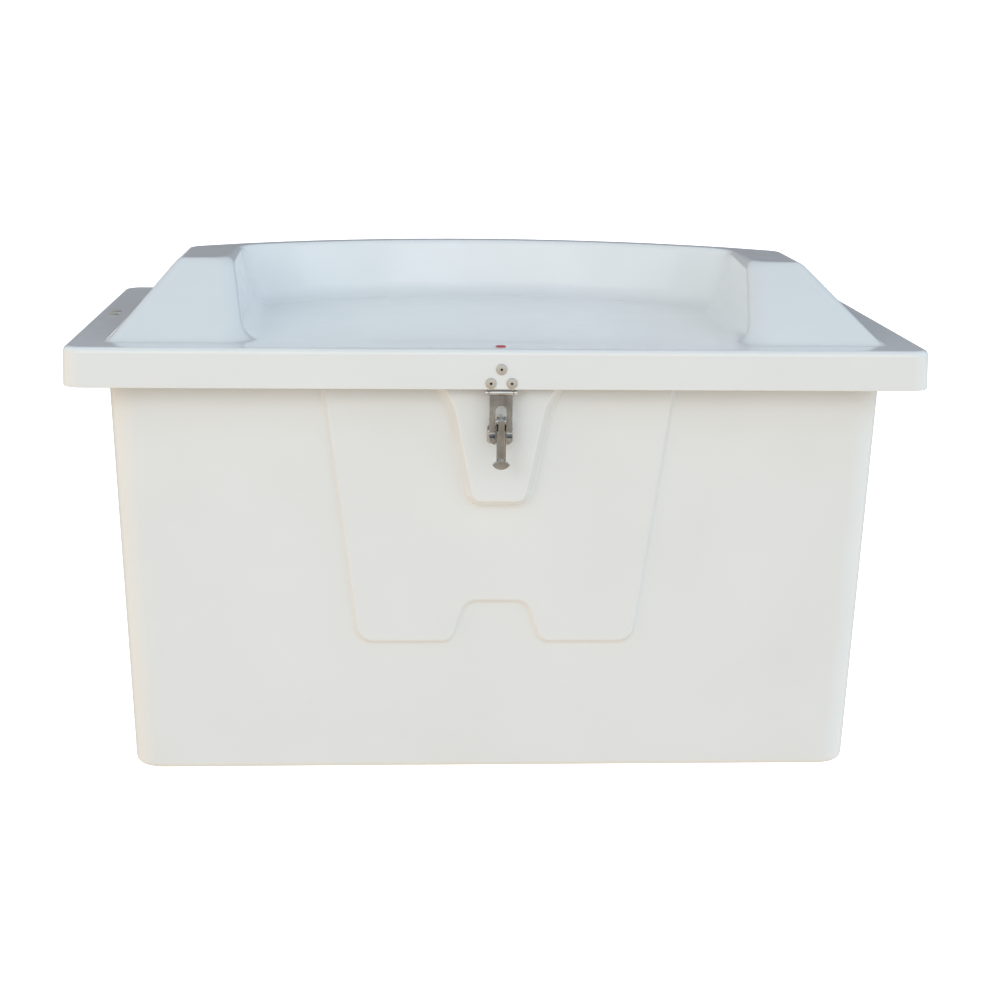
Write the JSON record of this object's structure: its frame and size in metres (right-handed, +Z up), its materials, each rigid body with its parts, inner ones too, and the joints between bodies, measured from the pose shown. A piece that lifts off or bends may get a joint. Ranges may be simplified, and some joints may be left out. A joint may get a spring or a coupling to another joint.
{
  "type": "dock box with seat lid",
  "caption": "White moulded storage box with a tapered tub and a wide hinged lid shaped as a shallow seat with arms and back, closed by a hasp and held open by a slotted stay.",
  "frame": {"origin": "middle of the flat base, on the floor", "axes": "+Z up, +X to the right seen from the front, the front with the hasp faces -Y, the hinge is at +Y"},
  "size_m": [1.168, 0.6899, 0.706],
  "materials": {
    "gelcoat": "white gelcoat over fibreglass, glossy",
    "gasket": "closed-cell seal, matte",
    "badge": "plain red enamel button",
    "stainless": "stainless steel, satin to bright",
    "aluminium": "mill-finish blind rivets"
  },
  "bodies": {
    "tub": {"tub": "gelcoat", "rim_gasket": "gasket", "hinge_leaf_tub": "stainless", "hinge_pin": "stainless", "hinge_rivet_tub_1": "stainless", "hinge_rivet_tub_2": "stainless", "hinge_rivet_tub_3": "stainless", "hinge_rivet_tub_4": "stainless", "hinge_rivet_tub_5": "stainless", "hinge_rivet_tub_6": "stainless", "staple": "stainless", "staple_rivet_1": "stainless", "staple_rivet_2": "stainless", "lever_pin": "stainless", "stay_bolt": "stainless", "stay_spacer": "stainless", "stay_nut": "stainless"},
    "lid": {"lid": "gelcoat", "badge": "badge", "hinge_leaf_lid": "stainless", "hinge_rivet_lid_1": "stainless", "hinge_rivet_lid_2": "stainless", "hinge_rivet_lid_3": "stainless", "hinge_rivet_lid_4": "stainless", "hinge_rivet_lid_5": "stainless", "hinge_rivet_lid_6": "stainless", "hasp_plate": "stainless", "hasp_pin": "stainless", "hasp_rivet_1": "aluminium", "hasp_rivet_2": "aluminium", "hasp_rivet_3": "aluminium", "margin_rivet_1": "aluminium", "margin_rivet_2": "aluminium", "stay_bracket": "stainless", "stay_rivet": "stainless"},
    "hasp": {"hasp_leaf": "stainless"},
    "lever": {"latch_lever": "stainless"},
    "stay": {"stay_bar": "stainless"}
  },
  "joints": [
    {"name": "lid_hinge", "type": "hinge", "parent": "tub", "child": "lid", "pos_m": [0, 0.3346, 0.556], "axis": [-1, 0, 0], "range_deg": [0, 90]},
    {"name": "hasp_hinge", "type": "hinge", "parent": "lid", "child": "hasp", "pos_m": [0, -0.327, 0.5565], "axis": [-1, 0, 0], "range_deg": [0, 120]},
    {"name": "lever_pivot", "type": "hinge", "parent": "tub", "child": "lever", "pos_m": [0, -0.336, 0.519], "axis": [-1, 0, 0], "range_deg": [0, 100]},
    {"name": "stay_pivot", "type": "hinge", "parent": "lid", "child": "stay", "pos_m": [0, 0.06, 0.59], "axis": [-1, 0, 0], "range_deg": [-45, 0]}
  ],
  "couplings": [
    {"joint": "stay_pivot", "follows": "lid_hinge", "ratio": -0.5}
  ]
}
